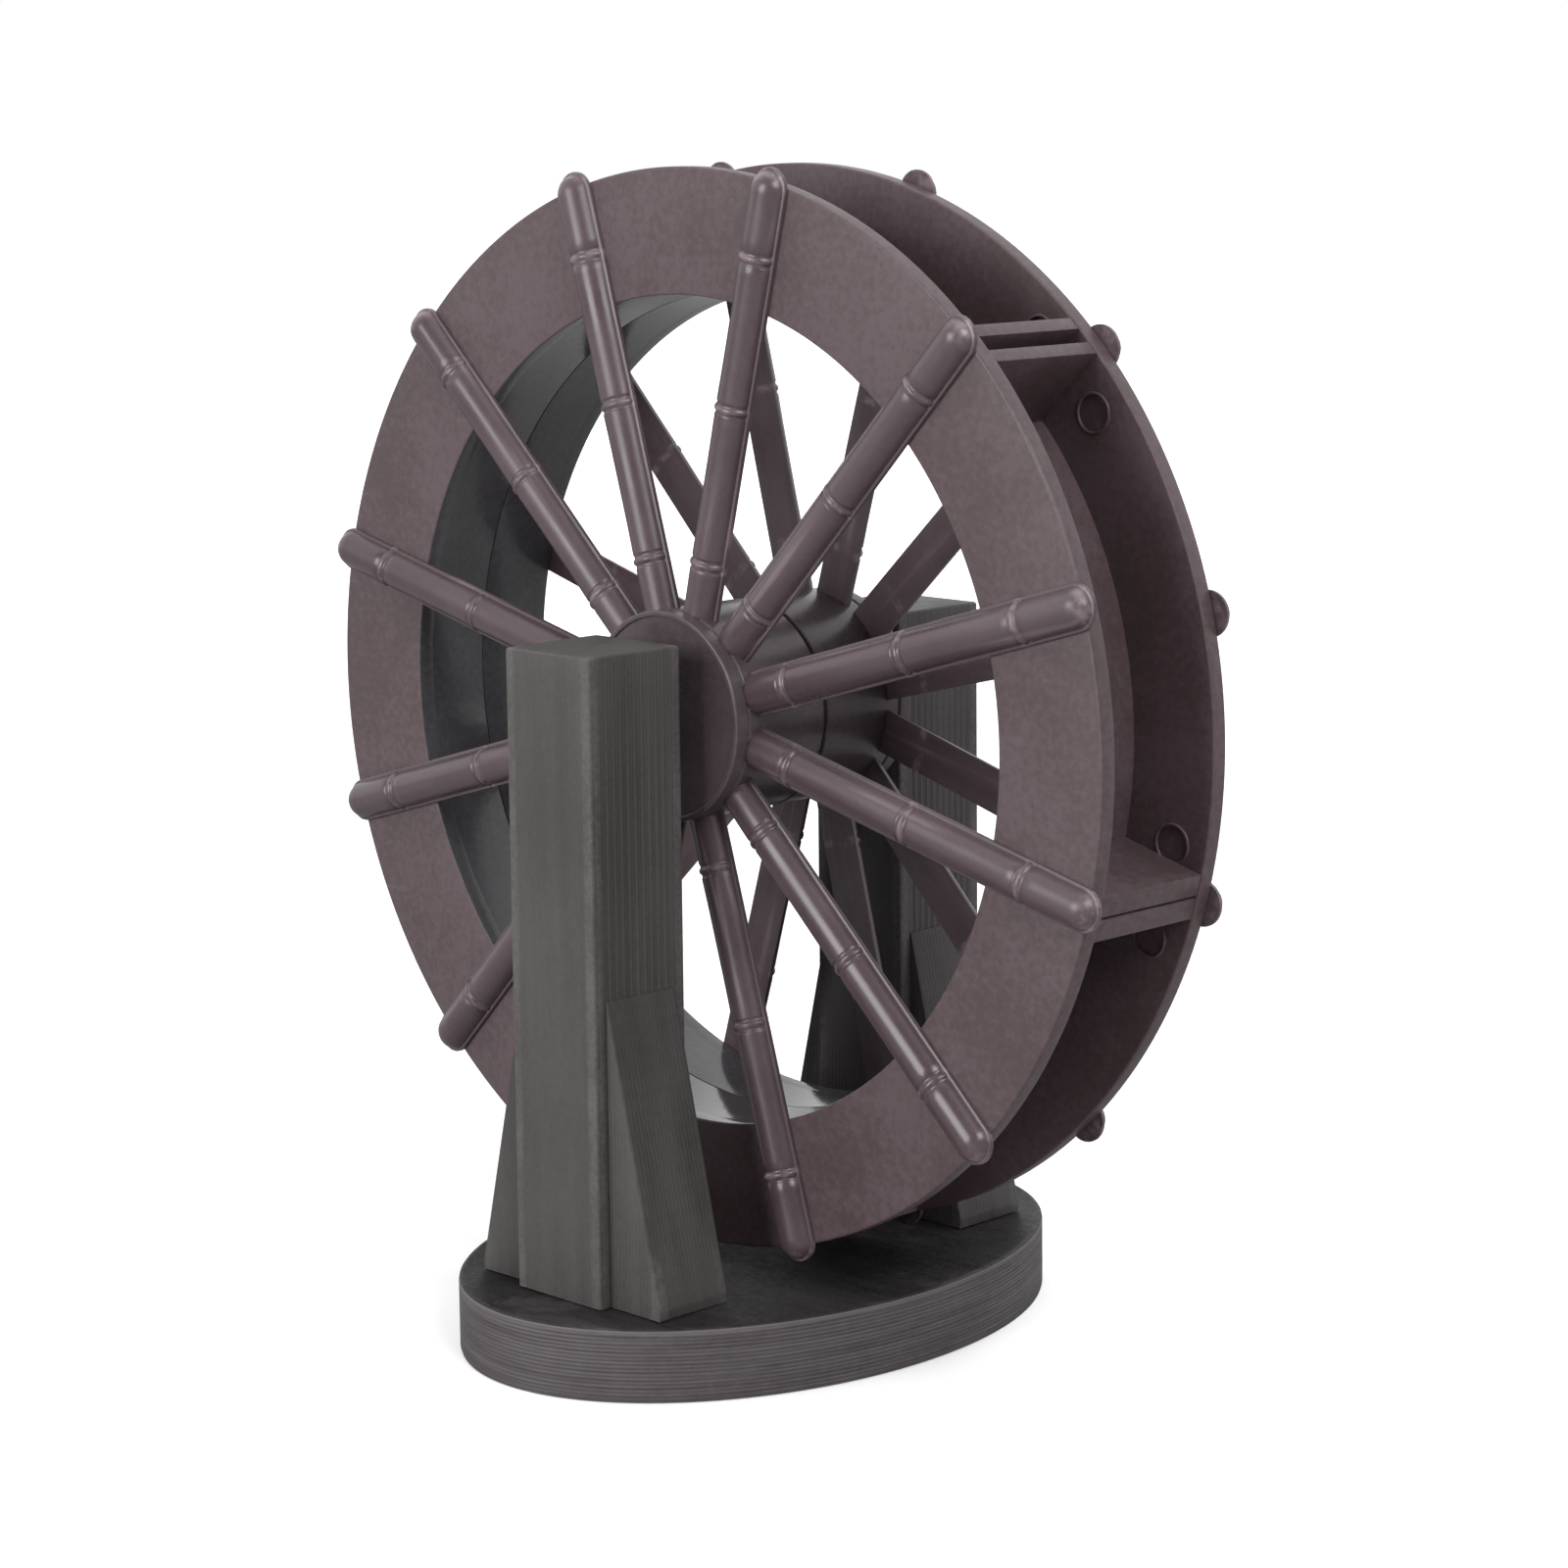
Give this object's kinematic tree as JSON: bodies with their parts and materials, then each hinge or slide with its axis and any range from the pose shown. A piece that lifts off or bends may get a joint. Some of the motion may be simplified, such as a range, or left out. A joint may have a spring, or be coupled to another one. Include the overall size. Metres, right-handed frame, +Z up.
{
  "type": "decorative water wheel",
  "caption": "Small bucket water wheel with bamboo-style spokes, turning on a horizontal axle pin between two braced square posts on an oval base.",
  "frame": {"origin": "middle of the base's underside, on the surface it stands on", "axes": "+Z up; +Y along the horizontal axle, the front at -Y; X across the wheel"},
  "size_m": [0.17, 0.1088, 0.185],
  "materials": {
    "base_plastic": "grained top, finely layered side, dull",
    "post_plastic": "dull with fine vertical grain",
    "wheel_plastic": "smooth moulded, soft sheen",
    "drum_plastic": "smooth moulded, glossy inside",
    "hub_plastic": "smooth moulded, soft sheen",
    "spoke_plastic": "smooth moulded, soft sheen",
    "pin_steel": "drawn",
    "screw_steel": "zinc plated",
    "spacer_plastic": "smooth"
  },
  "bodies": {
    "stand": {"base_plate": "base_plastic", "axle_pin": "pin_steel", "front_post": "post_plastic", "front_left_brace": "post_plastic", "front_right_brace": "post_plastic", "front_post_screw": "screw_steel", "front_spacer": "spacer_plastic", "rear_post": "post_plastic", "rear_left_brace": "post_plastic", "rear_right_brace": "post_plastic", "rear_post_screw": "screw_steel", "rear_spacer": "spacer_plastic"},
    "wheel": {"front_side_plate": "wheel_plastic", "front_drum_half": "drum_plastic", "front_hub_half": "hub_plastic", "front_spoke_01": "spoke_plastic", "front_spoke_02": "spoke_plastic", "front_spoke_03": "spoke_plastic", "front_spoke_04": "spoke_plastic", "front_spoke_05": "spoke_plastic", "front_spoke_06": "spoke_plastic", "front_spoke_07": "spoke_plastic", "front_spoke_08": "spoke_plastic", "front_spoke_09": "spoke_plastic", "front_spoke_10": "spoke_plastic", "front_spoke_11": "spoke_plastic", "front_spoke_12": "spoke_plastic", "front_bucket_board_1": "wheel_plastic", "front_bucket_board_2": "wheel_plastic", "front_bucket_board_3": "wheel_plastic", "front_bucket_board_4": "wheel_plastic", "front_bucket_board_5": "wheel_plastic", "front_bucket_board_6": "wheel_plastic", "rear_side_plate": "wheel_plastic", "rear_drum_half": "drum_plastic", "rear_hub_half": "hub_plastic", "rear_spoke_01": "spoke_plastic", "rear_spoke_02": "spoke_plastic", "rear_spoke_03": "spoke_plastic", "rear_spoke_04": "spoke_plastic", "rear_spoke_05": "spoke_plastic", "rear_spoke_06": "spoke_plastic", "rear_spoke_07": "spoke_plastic", "rear_spoke_08": "spoke_plastic", "rear_spoke_09": "spoke_plastic", "rear_spoke_10": "spoke_plastic", "rear_spoke_11": "spoke_plastic", "rear_spoke_12": "spoke_plastic", "rear_bucket_board_1": "wheel_plastic", "rear_bucket_board_2": "wheel_plastic", "rear_bucket_board_3": "wheel_plastic", "rear_bucket_board_4": "wheel_plastic", "rear_bucket_board_5": "wheel_plastic", "rear_bucket_board_6": "wheel_plastic"}
  },
  "joints": [
    {"name": "wheel_spin", "type": "hinge", "parent": "stand", "child": "wheel", "pos_m": [0, 0, 0.1], "axis": [0, 1, 0], "continuous": true}
  ]
}
